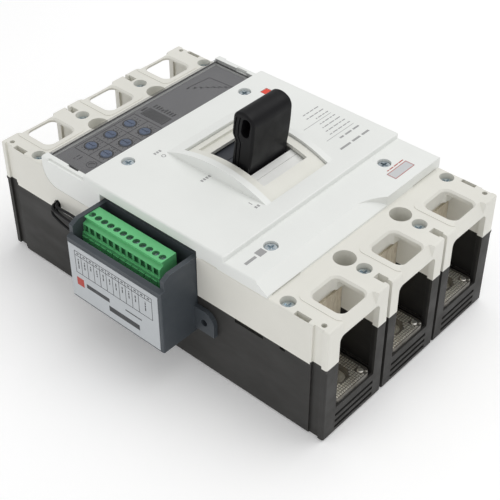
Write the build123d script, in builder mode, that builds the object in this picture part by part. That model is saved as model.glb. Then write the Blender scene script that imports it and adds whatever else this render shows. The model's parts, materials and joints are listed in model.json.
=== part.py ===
"""Three-pole moulded-case circuit breaker with a side terminal module, in millimetres.

+X points to the terminal module, +Y to the line side, +Z out of the front.  The origin is
the centre of the back face, which bolts to a mounting plate.
"""

import math
import os
from build123d import *

# Driving dimensions of the case
HALF_W = 53.5
HALF_L = 88.25
PITCH = 35.0
POLES = (-PITCH, 0.0, PITCH)
ENDS = (1, -1)
PART_Z = 36.1
LEG_Z = 37.4
SHOULDER_Z = 55.4
CEILING_Z = 52.4

# Pole chambers and terminal bays
CHAMBER_HALF = 13.4
CHAMBER_Y = (-60.0, 62.0)
CHAMBER_X = PITCH + CHAMBER_HALF
FLOOR_Z = 4.0
BAY_HALF = 11.6
BAY_Y = 69.3
BAY_FLOOR = 13.2
BAY_TOP = {1: 49.4, -1: 54.0}
ROOF_HOLE = 15.0
ROOF_HOLE_Y = 77.9
TERMINAL_Y = 78.1
BAY_INNER = 12.6
MOUTH_Y = 85.7
ROOF_UNDER = 53.4
SEAT_UNDER = 49.0
SEAT_Y = 71.9
ROOF_R = 3.0
LIP_START = 86.0
LIP_RUN = 2.25
LIP_DROP = 4.6
BARRIER_HALF = 12.4
BARRIER_T = 1.0
BARRIER_TOP = 46.5
VENTS = (9.0, 5.8, 2.7)
VENT_HALF = 0.78

# Conductors
BAR_T = 2.4
BAR_TOP = BAY_FLOOR + BAR_T
BAR_HALF = 7.0
PAD_HALF = 10.6
STUD_R = 3.35
PAD_BORE_R = 4.5
PIN_X = 7.7
PIN_Y = 84.7
PIN_R = 1.3

# Mounting
MOUNT_XY = (PITCH / 2, 67.0)
MOUNT_R = 2.4
WELL_R = 4.5

# Front cover
COVER_Y = (-61.3, 60.3)
PANEL_Y = (-36.2, 39.4)
PANEL_Z = 62.7
STEP_Z = 60.4
TRIP_Z = 60.3
CAVITY_X = 48.5
ARCH_HALF = 20.2
ARCH_Y = 4.13
ARCH_Z = 4.86
ARCH_R = 63.7
BAND_HALF = 17.2
BAND_R = 62.4
UNDER_R = 60.8
WINDOW_HALF = 13.05
WINDOW_Y = (-11.5, 23.4)
LIP_Y = (-12.2, -6.4)
LIP_R = (59.8, 61.2)
SKIRT_X = 52.3
SKIRT_END = -27.0
SKIRT_LOW = 47.5
SKIRT_R = 8.3
SKIRT_TOP = 57.0
SEAM = 0.12

# Screws
HOUSING_HEAD = (50.9, 53.2)
HOUSING_HEAD_R = 2.8
COVER_HEAD_DEEP = 0.8
COVER_HEAD_T = 2.4
COVER_HEAD_R = 2.6
RECESS_HALF = 0.42
RECESS_DEEP = 0.9

# Handle and switching shaft
PIVOT = (6.5, 20.0)
LEAN = 4.3
KNOB_HALF = 11.6
SHAFT = (20.0, 17.0)
SHAFT_R = 5.8
OPEN_ANGLE = 10.0
TRIP_BAR = (-30.0, 24.0)
JOURNAL_WALL = 50.0

# Side terminal module
MOD_X = (50.2, 72.3)
MOD_Y = (-26.5, 25.1)
MOD_Z = (18.6, 55.0)
POCKET_Y = (-26.9, 25.5)
POCKET_Z = (31.0, 58.0)
WAYS = 12
WAY_PITCH = 3.5
WAY_Y = -22.95
MODULE_SCREW_Y = (-14.0, 12.0)
MODULE_SCREW_Z = 25.0
PAD_RISE = 0.3
EAR_X = (53.6, 55.6)
EAR_REACH = 10.5
EAR_HOLE_R = 1.6
HEADER_Y = (-24.4, 17.7)
PLUG_Y = (-24.5, 17.6)
SLOT_X = 61.2

# Leads from the trip unit to the module
LEAD_R = 0.62
NOTCH_Y = (-57.0, -52.7)
NOTCH_TOP = 41.3
NOTCH_PEAK = -53.9
SEAL_GAP = 0.2
LEAD_ROUTES = [
    [(50, -53.95, 39.9), (56, -53.95, 39.9), (56.2, -42, 41.0), (57.2, -31, 40.6), (57.2, -24, 40.6)],
    [(50, -55.35, 39.3), (57.6, -55.35, 39.3), (57.6, -43, 38.4), (58.8, -31, 39.3), (58.8, -24, 39.3)],
    [(50, -54.3, 38.4), (56, -54.3, 37.9), (56.2, -43, 35.8), (57.2, -31, 37.5), (57.2, -24, 37.5)],
    [(50, -55.7, 37.8), (57.6, -55.7, 37.2), (57.8, -44, 33.4), (58.8, -31, 36.2), (58.8, -24, 36.2)],
]

os.makedirs("parts", exist_ok=True)
CCM = (Align.CENTER, Align.CENTER, Align.MIN)
TOOL = Mode.PRIVATE


def save(builder, node):
    """Labels a finished piece and writes its STEP file."""
    builder.part.label = node
    export_step(builder.part, f"parts/{node}.step")


def block(xs, ys, zs, mode=Mode.ADD):
    """A box between two limits on each axis."""
    middle = ((xs[0] + xs[1]) / 2, (ys[0] + ys[1]) / 2, (zs[0] + zs[1]) / 2)
    with Locations(middle):
        return Box(abs(xs[1] - xs[0]), abs(ys[1] - ys[0]), abs(zs[1] - zs[0]), mode=mode)


def post(x, y, zs, radius, mode=Mode.ADD):
    """A cylinder along Z."""
    with Locations((x, y, zs[0])):
        return Cylinder(radius, zs[1] - zs[0], align=CCM, mode=mode)


def rod(xs, y, z, radius, mode=Mode.ADD):
    """A cylinder along X."""
    with Locations(((xs[0] + xs[1]) / 2, y, z)):
        return Cylinder(radius, abs(xs[1] - xs[0]), rotation=(0, 90, 0), mode=mode)


def prism(points, xs, mode=Mode.ADD):
    """A Y-Z polygon carried along X."""
    with BuildSketch(Plane.YZ.offset(min(xs))) as profile:
        with BuildLine():
            Polyline(*points, close=True)
        make_face()
    return extrude(profile.sketch, amount=abs(xs[1] - xs[0]), mode=mode)


def arc_z(radius, y, centre_y=ARCH_Y, centre_z=ARCH_Z):
    """Height of an arch of the given radius at y."""
    return centre_z + math.sqrt(radius ** 2 - (y - centre_y) ** 2)


def arch(radius, ys, base, xs, mode=Mode.ADD, centre=(ARCH_Y, ARCH_Z)):
    """The solid under an arch, down to a flat base."""
    middle = (ys[0] + ys[1]) / 2
    tops = [(y, arc_z(radius, y, *centre)) for y in (ys[0], middle, ys[1])]
    with BuildSketch(Plane.YZ.offset(min(xs))) as profile:
        with BuildLine():
            ThreePointArc(*tops)
            Polyline(tops[2], (ys[1], base), (ys[0], base), tops[0])
        make_face()
    return extrude(profile.sketch, amount=abs(xs[1] - xs[0]), mode=mode)


def cross_recess(x, y, top, reach):
    """Cross-shaped driver recess in a screw head."""
    for half_x, half_y in ((reach, RECESS_HALF), (RECESS_HALF, reach)):
        block((x - half_x, x + half_x), (y - half_y, y + half_y), (top - RECESS_DEEP, top), Mode.SUBTRACT)


def skirt(xs, gap=0.0, mode=Mode.ADD):
    """The front cover's side skirt with its round corner, wider by a gap all round."""
    low = SKIRT_LOW - gap
    edge = COVER_Y[0] - gap
    corner = edge + SKIRT_R
    inset = SKIRT_R * (1 - math.sqrt(0.5))
    with BuildSketch(Plane.YZ.offset(min(xs))) as profile:
        with BuildLine():
            ThreePointArc((edge, low + SKIRT_R), (edge + inset, low + inset), (corner, low))
            Polyline((corner, low), (SKIRT_END, low), (SKIRT_END, SKIRT_TOP))
            Polyline((SKIRT_END, SKIRT_TOP), (edge, SKIRT_TOP), (edge, low + SKIRT_R))
        make_face()
    return extrude(profile.sketch, amount=abs(xs[1] - xs[0]), mode=mode)


def teardrop(xs, foot, gap=0.0, mode=Mode.ADD):
    """The shape of the lead notch above a flat foot, smaller by a gap all round."""
    low, high = NOTCH_Y[0] + gap, NOTCH_Y[1] - gap
    peak = (NOTCH_PEAK, NOTCH_TOP - gap)
    with BuildSketch(Plane.YZ.offset(min(xs))) as profile:
        with BuildLine():
            ThreePointArc((low, 37.2), (low + 0.67, 39.9), peak)
            ThreePointArc(peak, (high - 0.35, 40.6 - gap), (high, 39.0))
            Polyline((high, 39.0), (high, foot), (low, foot), (low, 37.2))
        make_face()
    return extrude(profile.sketch, amount=abs(xs[1] - xs[0]), mode=mode)


def end_span(end, low, high):
    """A Y span measured outwards, on the line side (+1) or the load side (-1)."""
    return (end * low, end * high)


# Fastener places
HOUSING_SCREWS = [(s * 49.6, 66.7) for s in ENDS] + [(s * 17.4, 76.0) for s in ENDS]
HOUSING_SCREWS += [(s * 49.6, -68.2) for s in ENDS] + [(s * 17.4, -77.3) for s in ENDS]
COVER_SCREWS = [(s * 34.9, y, top) for s in ENDS for y, top in ((-29.6, PANEL_Z), (45.9, STEP_Z))]
MOUNTS = [(s * MOUNT_XY[0], e * MOUNT_XY[1]) for s in ENDS for e in ENDS]
BUTTON = (-41.3, -22.3)
DIALS = [(x, y) for y in (-54.1, -45.0) for x in (33.0, 22.1, 11.0)]



def case_end_tools(zs):
    """Grooves and barrier slots that both case halves share."""
    tools = []
    for end in ENDS:
        for side in ENDS:
            groove = (side * (HALF_W - 1), side * (HALF_W + 1))
            tools.append(block(groove, end_span(end, 81.1, 85.8), zs, TOOL))
            slot_x = side * PITCH / 2
            tools.append(block((slot_x - 0.95, slot_x + 0.95), end_span(end, 85.9, 89), zs, TOOL))
            tools.append(block((slot_x - 1.65, slot_x + 1.65), end_span(end, 81.4, 86), zs, TOOL))
    return tools


def pole_end_tools(pole, end):
    """Bay, bar slot, nut pocket, locating hole and vents at one end of one pole."""
    bay = (pole - BAY_HALF, pole + BAY_HALF)
    bar = (pole - BAR_HALF - 0.1, pole + BAR_HALF + 0.1)
    nut_y = end_span(end, TERMINAL_Y - 6.6, TERMINAL_Y + 6.6)
    tools = [block(bay, end_span(end, BAY_Y, 90), (BAY_FLOOR, 40), TOOL)]
    inside = (pole - BAY_INNER, pole + BAY_INNER)
    tools.append(block(inside, end_span(end, BAY_Y, MOUTH_Y), (BAR_TOP, 40), TOOL))
    tools.append(block(bar, end_span(end, 59, BAY_Y), (BAY_FLOOR, BAR_TOP + 0.2), TOOL))
    tools.append(block((pole - 7.6, pole + 7.6), nut_y, (6, 14), TOOL))
    tools.append(post(pole - PIN_X, end * PIN_Y, (10.4, 14), PIN_R + 0.02, TOOL))
    for vent in VENTS:
        tools.append(block(bay, end_span(end, HALF_L - 2, 90), (vent - VENT_HALF, vent + VENT_HALF), TOOL))
    return tools


def bearing_tools(side):
    """Open-topped slots for the two shafts in one outer wall, and the parting line notches."""
    shaft_x = (side * 48, side * JOURNAL_WALL)
    trip_x = (side * 48, side * JOURNAL_WALL)
    edge = (side * (HALF_W - 0.9), side * (HALF_W + 1))
    tools = [rod(shaft_x, *SHAFT, 2.55, TOOL)]
    tools.append(block(shaft_x, (SHAFT[0] - 2.55, SHAFT[0] + 2.55), (SHAFT[1], 40), TOOL))
    tools.append(rod(trip_x, *TRIP_BAR, 1.55, TOOL))
    tools.append(block(trip_x, (TRIP_BAR[0] - 1.55, TRIP_BAR[0] + 1.55), (TRIP_BAR[1], 40), TOOL))
    tools.append(block(edge, (44.5, 58.5), (34.2, 40), TOOL))
    tools.append(block(edge, (66.5, 69), (34.6, 40), TOOL))
    return tools


# ---- base: the charcoal rear half of the case
with BuildPart() as base_case:
    block((-HALF_W, HALF_W), (-HALF_L, HALF_L), (0, PART_Z))
    fillet(base_case.edges().filter_by(Axis.Z), 0.8)
    chamfer(base_case.faces().sort_by(Axis.Z)[0].edges(), 0.6)
    for end in ENDS:
        block((-HALF_W, HALF_W), end_span(end, 80.6, HALF_L - 0.05), (PART_Z, LEG_Z))
    cuts = []
    for pole in POLES:
        chamber = (pole - CHAMBER_HALF, pole + CHAMBER_HALF)
        cuts.append(block(chamber, CHAMBER_Y, (FLOOR_Z, 40), TOOL))
        for end in ENDS:
            cuts += pole_end_tools(pole, end)
    cuts.append(block((-CHAMBER_X, CHAMBER_X), (13, 27), (10, 40), TOOL))
    cuts.append(block((-CHAMBER_X, CHAMBER_X), (-33, -27), (20, 40), TOOL))
    for side in ENDS:
        cuts += bearing_tools(side)
    for x, y in HOUSING_SCREWS:
        cuts.append(post(x, y, (20, 40), 1.5, TOOL))
    for x, y in MOUNTS:
        cuts.append(post(x, y, (5, 40), WELL_R, TOOL))
        cuts.append(post(x, y, (-1, 6), MOUNT_R, TOOL))
    cuts += case_end_tools((-1, 40))
    cuts.append(block((MOD_X[0], HALF_W + 1), POCKET_Y, (POCKET_Z[0], 40), TOOL))
    cuts.append(block((-HALF_W, HALF_W), (-90, -83), (-1, 1.5), TOOL))
    for pole in (-PITCH, PITCH):
        cuts.append(block((pole - 11, pole + 11), (-50, 50), (-1, 1.2), TOOL))
    for y in MODULE_SCREW_Y:
        cuts.append(rod((MOD_X[0] - 1.6, 60), y, MODULE_SCREW_Z, 1.25, TOOL))
    add(cuts, mode=Mode.SUBTRACT)
save(base_case, "base_case")


def roof_tools(pole, end):
    """Bay, screwdriver hole with its bevelled rim, and the sloped lip over one terminal."""
    with BuildSketch(Plane.XZ.offset(-end * (HALF_L + 2))) as mouth:
        with Locations((pole, (30 + BAY_TOP[end]) / 2)):
            RectangleRounded(2 * BAY_HALF, BAY_TOP[end] - 30, 2.5)
    with BuildSketch(Plane.XY.offset(45)) as hole:
        with Locations((pole, end * ROOF_HOLE_Y)):
            RectangleRounded(ROOF_HOLE, ROOF_HOLE, ROOF_R)
    with BuildSketch(Plane.XY.offset(SHOULDER_Z - 0.5)) as rim_low:
        with Locations((pole, end * ROOF_HOLE_Y)):
            RectangleRounded(ROOF_HOLE, ROOF_HOLE, ROOF_R)
    with BuildSketch(Plane.XY.offset(SHOULDER_Z + PAD_RISE)) as rim_high:
        with Locations((pole, end * ROOF_HOLE_Y)):
            RectangleRounded(ROOF_HOLE + 1.6, ROOF_HOLE + 1.6, ROOF_R + 0.8)
    lip_normal = (0, end * LIP_RUN, -LIP_DROP)
    slope = Plane(origin=(pole, end * LIP_START, SHOULDER_Z), x_dir=(1, 0, 0), z_dir=lip_normal)
    with BuildSketch(slope) as lip:
        with BuildLine():
            Polyline((-9, 0), (9, 0), (13, -end * 5), (-13, -end * 5), close=True)
        make_face()
    inside = (pole - BAY_INNER, pole + BAY_INNER)
    under_lip = [(end * BAY_Y, 36), (end * BAY_Y, SEAT_UNDER), (end * SEAT_Y, SEAT_UNDER)]
    under_lip += [(end * SEAT_Y, ROOF_UNDER), (end * 84.6, ROOF_UNDER)]
    under_lip += [(end * MOUTH_Y, 51.6), (end * MOUTH_Y, 36)]
    tools = [extrude(mouth.sketch, amount=HALF_L + 2 - BAY_Y, dir=(0, -end, 0), mode=TOOL)]
    tools.append(prism(under_lip, inside, TOOL))
    tools.append(extrude(hole.sketch, amount=15, mode=TOOL))
    tools.append(loft([rim_low.sketch, rim_high.sketch], mode=TOOL))
    tools.append(extrude(lip.sketch, amount=9, both=True, mode=TOOL))
    return tools


# ---- upper housing: the cream front half of the case
with BuildPart() as upper_housing:
    block((-HALF_W, HALF_W), (-HALF_L, HALF_L), (PART_Z, SHOULDER_Z))
    fillet(upper_housing.edges().filter_by(Axis.Z), 0.8)
    fillet(upper_housing.faces().sort_by(Axis.Z)[-1].edges(), 0.9)
    chambers = []
    for pole in POLES:
        chamber = (pole - CHAMBER_HALF, pole + CHAMBER_HALF)
        chambers.append(block(chamber, CHAMBER_Y, (30, CEILING_Z), TOOL))
    add(chambers, mode=Mode.SUBTRACT)
    with BuildSketch(Plane.XY.offset(SHOULDER_Z)):
        with Locations(*((pole, end * 77.6) for pole in POLES for end in ENDS)):
            RectangleRounded(22, 20.4, 3)
    extrude(amount=PAD_RISE)
    for x, y, top in COVER_SCREWS:
        post(x, y, (46, CEILING_Z), 3.2)
    cuts = []
    for end in ENDS:
        cuts.append(block((-60, 60), end_span(end, 80.6, 90), (30, LEG_Z), TOOL))
        for pole in POLES:
            cuts += roof_tools(pole, end)
    cuts.append(block((-16.2, 16.2), (-33, 46), (44, 60), TOOL))
    cuts.append(block((-CHAMBER_X, CHAMBER_X), (-60.5, -37.5), (38, 60), TOOL))
    for x, y in HOUSING_SCREWS:
        cuts.append(post(x, y, (HOUSING_HEAD[0], 60), HOUSING_HEAD_R + 0.25, TOOL))
        cuts.append(post(x, y, (30, 60), 1.7, TOOL))
    for x, y in MOUNTS:
        cuts.append(post(x, y, (30, 60), WELL_R, TOOL))
    for x, y, top in COVER_SCREWS:
        cuts.append(post(x, y, (47, 60), 1.25, TOOL))
    cuts.append(post(*BUTTON, (50, 60), 1.7, TOOL))
    cuts += case_end_tools((30, 60))
    for side in ENDS:
        for end in ENDS:
            cuts.append(post(side * 50.7, end * 84, (50, 60), 1.1, TOOL))
        cuts.append(block((side * 51, side * 53.2), (72.3, 78.9), (50, 60), TOOL))
        cuts.append(block((side * 51, side * 53.2), (-80.4, -73.6), (50, 60), TOOL))
        cuts.append(skirt((side * (SKIRT_X - 0.1), side * (HALF_W + 1)), SEAM, TOOL))
    cuts.append(block((MOD_X[0], HALF_W + 1), POCKET_Y, (30, 60), TOOL))
    cuts.append(teardrop((48, HALF_W + 1), 35.0, mode=TOOL))
    add(cuts, mode=Mode.SUBTRACT)
save(upper_housing, "upper_housing")

# ---- front cover: the white panel with the handle arch
with BuildPart() as front_cover:
    outline = [(COVER_Y[0], SHOULDER_Z), (COVER_Y[0], TRIP_Z), (PANEL_Y[0], TRIP_Z), (PANEL_Y[0], PANEL_Z)]
    outline += [(PANEL_Y[1], PANEL_Z), (PANEL_Y[1], STEP_Z), (COVER_Y[1], STEP_Z), (COVER_Y[1], SHOULDER_Z)]
    prism(outline, (-HALF_W, HALF_W))
    high_edges = front_cover.edges().filter_by(lambda e: e.center().Z > TRIP_Z - 0.2)
    fillet([e for e in high_edges if abs(abs(e.center().X) - HALF_W) < 0.1], 0.8)
    step_edges = front_cover.edges().filter_by(Axis.X).filter_by(lambda e: e.center().Z > PANEL_Z - 0.2)
    fillet(step_edges, 0.6)
    with BuildSketch(Plane.XY.offset(50)):
        with BuildLine():
            Polyline((-17.7, 62), (-17.7, 60.3))
            Spline((-17.7, 60.3), (-10.6, 55.8), (-5.8, 54.4))
            Polyline((-5.8, 54.4), (55, 54.4), (55, 62), (-17.7, 62))
        make_face()
    facet = extrude(amount=20, mode=Mode.PRIVATE)
    with BuildSketch(Plane.YZ.offset(-20)):
        with BuildLine():
            Polyline((54.4, STEP_Z), (61.8, 55.4), (64, 62), (54.4, 62), close=True)
        make_face()
    wedge = extrude(amount=80, mode=Mode.PRIVATE)
    add(facet & wedge, mode=Mode.SUBTRACT)
    arch(ARCH_R, (-22.6, 30.8), 58, (-ARCH_HALF, ARCH_HALF))
    block((-CAVITY_X, CAVITY_X), (-35, 53), (50, 58.2), Mode.SUBTRACT)
    block((-CAVITY_X, CAVITY_X), (-35, 38), (50, 60.2), Mode.SUBTRACT)
    arch(UNDER_R, (-18.2, 26.5), 58, (-15.6, 15.6), Mode.SUBTRACT)
    arch(BAND_R + 12, (-15.3, 30.8), 50, (-BAND_HALF, BAND_HALF), Mode.SUBTRACT)
    arch(BAND_R, (-15.3, 30.8), 58, (-BAND_HALF, BAND_HALF))
    block((-CAVITY_X, CAVITY_X), (-35, 38), (50, 60.2), Mode.SUBTRACT)
    arch(UNDER_R, (-18.2, 26.5), 58, (-15.6, 15.6), Mode.SUBTRACT)
    gaps = [block((-BAND_HALF, BAND_HALF), (y - SEAM, y + 3 * SEAM), (58, 70), TOOL) for y in (-15.3, 30.4)]
    for side in ENDS:
        gap_x = (side * (BAND_HALF - 3 * SEAM), side * BAND_HALF)
        gaps.append(block(gap_x, (-15.3, 30.8), (58, 70), TOOL))
    gap_floor = arch(BAND_R - 1.0, (-16, 31), 50, (-BAND_HALF - 1, BAND_HALF + 1), mode=TOOL)
    for gap in gaps:
        add(gap - gap_floor, mode=Mode.SUBTRACT)
    block((-WINDOW_HALF, WINDOW_HALF), WINDOW_Y, (55, 75), Mode.SUBTRACT)
    with BuildSketch(Plane.YZ.offset(-WINDOW_HALF - 0.6)):
        with BuildLine():
            lip_y = (LIP_Y[0], sum(LIP_Y) / 2, LIP_Y[1])
            lip_top = ThreePointArc(*((y, arc_z(LIP_R[1], y)) for y in lip_y))
            lip_under = ThreePointArc(*((y, arc_z(LIP_R[0], y)) for y in lip_y))
            Line(lip_top @ 0, lip_under @ 0)
            Line(lip_top @ 1, lip_under @ 1)
        make_face()
    extrude(amount=2 * WINDOW_HALF + 1.2)
    for x, y, top in COVER_SCREWS:
        post(x, y, (SHOULDER_Z, top - 2), 4)
        post(x, y, (50, 70), 1.5, Mode.SUBTRACT)
        seat = top - COVER_HEAD_DEEP - COVER_HEAD_T
        post(x, y, (seat, 70), COVER_HEAD_R + 0.3, Mode.SUBTRACT)
    with Locations((*BUTTON, 60)):
        Box(4.4, 4.4, 10, mode=Mode.SUBTRACT)
    block((-48.6, 48.6), (-59.6, -37.6), (50, 65), Mode.SUBTRACT)
    block((-50.1, 50.1), (-61.4, -36.3), (58.7, 65), Mode.SUBTRACT)
    block((-50.1, 50.1), (-61.4, -58.9), (58.2, 65), Mode.SUBTRACT)
    for side in ENDS:
        skirt((side * SKIRT_X, side * (HALF_W - 0.05)))
        block((side * 52.2, side * (HALF_W + 1)), (-57.5, -36.6), (59.4, 65), Mode.SUBTRACT)
        block((side * 50, side * 51), (-48.2, -42.2), (58.7, 65), Mode.SUBTRACT)
        rod((side * 49.9, side * 51.4), -60.2, 59.5, 0.52, Mode.SUBTRACT)
        block((side * (HALF_W - 0.5), side * (HALF_W + 1)), (28, 36), (54, 55.9), Mode.SUBTRACT)
        block((side * 35, side * 51), (59.5, 61), (54, 56.0), Mode.SUBTRACT)
    block((MOD_X[0], HALF_W + 1), POCKET_Y, (50, POCKET_Z[1]), Mode.SUBTRACT)
save(front_cover, "front_cover")

# ---- hinged smoked window over the setting dials
with BuildPart() as trip_window:
    block((-49.8, 49.8), (-61.0, -36.6), (58.9, STEP_Z))
    fillet(trip_window.edges().filter_by(Axis.X).group_by(Axis.Y)[0], 0.7)
    fillet(trip_window.edges().filter_by(Axis.Z).group_by(Axis.Y)[-1], 1.2)
    block((-6, 6), (-37.4, -36), (STEP_Z - 0.5, 61), Mode.SUBTRACT)
    for side in ENDS:
        rod((side * 48.6, side * 50), -60.2, 59.5, 0.56, Mode.SUBTRACT)
save(trip_window, "trip_window")

with BuildPart() as window_pins:
    for side in ENDS:
        rod((side * 48.7, side * 51.3), -60.2, 59.5, 0.5)
save(window_pins, "window_pins")

# ---- electronic trip unit
with BuildPart() as trip_faceplate:
    block((-48.4, 48.4), (-59.4, -37.8), (57.0, 58.0))
    for x, y in DIALS:
        post(x, y, (56, 59), 2.8, Mode.SUBTRACT)
    block((-3.4, 2.6), (-56.4, -43.1), (56, 59), Mode.SUBTRACT)
    post(42, -44, (57.3, 59), 1.6, Mode.SUBTRACT)
    with BuildSketch(Plane.XY.offset(58.0)):
        with Locations((-7.2, -50.5)):
            RectangleRounded(2.2, 2.2, 0.5)
    extrude(amount=0.3)
save(trip_faceplate, "trip_faceplate")

with BuildPart() as trip_unit_case:
    block((-48.1, 48.1), (-59.5, -37.8), (38.3, 57.0))
    block((-46.6, 46.6), (-58.0, -39.3), (39.8, 58), Mode.SUBTRACT)
    for x, y in ((44, -55.5), (-44, -55.5), (44, -41.8), (-44, -41.8)):
        post(x, y, (39.8, 52), 1.8)
save(trip_unit_case, "trip_unit_case")

with BuildPart() as trip_pcb:
    block((-46.4, 46.4), (-57.8, -39.5), (52.0, 53.6))
    for x, y in DIALS:
        block((x - 2.6, x + 2.6), (y - 2.6, y + 2.6), (53.6, 54.6))
    block((-30, -14), (-55, -43), (53.6, 55.4))
save(trip_pcb, "trip_pcb")

with BuildPart() as trip_display:
    block((-3.3, 2.5), (-56.3, -43.2), (54, 58.2))
save(trip_display, "trip_display")

for number, (x, y) in enumerate(DIALS, 1):
    with BuildPart() as dial:
        post(x, y, (55.6, 58.5), 2.4)
        chamfer(dial.faces().sort_by(Axis.Z)[-1].edges(), 0.25)
        post(x, y, (54.7, 55.6), 1.2)
        block((x - 0.35, x + 0.35), (y - 1.9, y + 1.9), (58.0, 59), Mode.SUBTRACT)
        block((x - 0.8, x + 0.8), (y + 1.0, y + 1.9), (58.0, 59), Mode.SUBTRACT)
    save(dial, f"dial_{number}")

# ---- push-to-trip button, its spring and the trip bar it turns
with BuildPart() as trip_button:
    with Locations((*BUTTON, 60.8)):
        Box(4, 4, 3.8)
    fillet(trip_button.faces().sort_by(Axis.Z)[-1].edges(), 0.35)
    block((BUTTON[0] - 3, BUTTON[0] + 3), (BUTTON[1] - 3, BUTTON[1] + 3), (58.6, 59.8))
    post(*BUTTON, (26.3, 59), 1.4)
save(trip_button, "trip_button")

with BuildPart() as trip_button_spring:
    with BuildSketch(Plane.XZ.offset(-BUTTON[1])):
        for row in range(4):
            with Locations((BUTTON[0] + 2.5, SHOULDER_Z + 0.4 + 0.8 * row)):
                Circle(0.42)
    revolve(axis=Axis((*BUTTON, 0), (0, 0, 1)))
    block((BUTTON[0] - 4, BUTTON[0] + 4), (BUTTON[1] - 4, BUTTON[1] + 4), (50, SHOULDER_Z), Mode.SUBTRACT)
    block((BUTTON[0] - 4, BUTTON[0] + 4), (BUTTON[1] - 4, BUTTON[1] + 4), (58.6, 60), Mode.SUBTRACT)
save(trip_button_spring, "trip_button_spring")

with BuildPart() as trip_bar:
    rod((-47.8, 47.8), *TRIP_BAR, 2.4)
    rod((-49.8, 49.8), *TRIP_BAR, 1.5)
    block((BUTTON[0] - 2, BUTTON[0] + 2), (-30, -20.4), (24.4, 26.0))
    block((-3, 3), (-30, -25.5), (24.0, 26.0))
save(trip_bar, "trip_bar")

# ---- current transformers round the load conductors
with BuildPart() as current_transformers:
    for pole in POLES:
        block((pole - 10.4, pole + 10.4), (-52, -40), (FLOOR_Z, 30))
        block((pole - BAR_HALF - 0.3, pole + BAR_HALF + 0.3), (-53, -39), (12.8, 16.2), Mode.SUBTRACT)
    vertical = current_transformers.edges().filter_by(Axis.Z)
    fillet([e for e in vertical if e.length > 20], 1.5)
save(current_transformers, "current_transformers")

# ---- switching mechanism
with BuildPart() as mechanism_frame:
    for side in ENDS:
        block((side * 11.3, side * 12.9), (-16, 34), (FLOOR_Z, 44))
        block((side * 11, side * 13), (SHAFT[0] - 6.4, SHAFT[0] + 6.4), (0, SHAFT[1]), Mode.SUBTRACT)
        rod((side * 11, side * 13), *SHAFT, 6.4, Mode.SUBTRACT)
        rod((side * 11, side * 13), *PIVOT, 2.52, Mode.SUBTRACT)
    block((-11.3, 11.3), (-16, -14.4), (30, 42))
save(mechanism_frame, "mechanism_frame")

with BuildPart() as mechanism_pins:
    for side in ENDS:
        rod((side * 9.0, side * 12.9), *PIVOT, 2.5)
save(mechanism_pins, "mechanism_pins")

lean_cos = math.cos(math.radians(LEAN))
lean_sin = math.sin(math.radians(LEAN))
HANDLE_PLANE = Plane(origin=(0, *PIVOT), x_dir=(0, lean_cos, -lean_sin), z_dir=(1, 0, 0))
YOKE_TIP = 40.1
YOKE_SIDES = (9.2, 10.8)
LINK_PIN = 26.0
FLANGE_R = 43.3
FLANGE_HALF = 9.5
SHUTTER_HALF = 14.6
SHUTTER_T = 1.5
SHUTTER_SPAN = (6.4, 39.0)
NECK = (6.6, 77.6)
SHOULDER_CORNER = (5.3, 80.2)
GRIP_SLOT = (12.7, 85.2)

with BuildPart() as handle_yoke:
    for side in ENDS:
        with BuildSketch(HANDLE_PLANE.offset(YOKE_SIDES[0] if side > 0 else -YOKE_SIDES[1])):
            Circle(4)
            with Locations((0, 20)):
                Rectangle(7, YOKE_TIP - 0.1)
            Circle(2.55, mode=Mode.SUBTRACT)
            with Locations((0, LINK_PIN)):
                Circle(1.52, mode=Mode.SUBTRACT)
        extrude(amount=YOKE_SIDES[1] - YOKE_SIDES[0])
    with BuildSketch(HANDLE_PLANE.offset(-YOKE_SIDES[1])):
        with Locations((0, YOKE_TIP - 0.8)):
            Rectangle(7, 1.6)
    extrude(amount=2 * YOKE_SIDES[1])
save(handle_yoke, "handle_yoke")


def at_angle(radius, degrees):
    """A point in the handle's plane, at an angle from the handle's own axis."""
    return (radius * math.sin(math.radians(degrees)), radius * math.cos(math.radians(degrees)))


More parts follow.
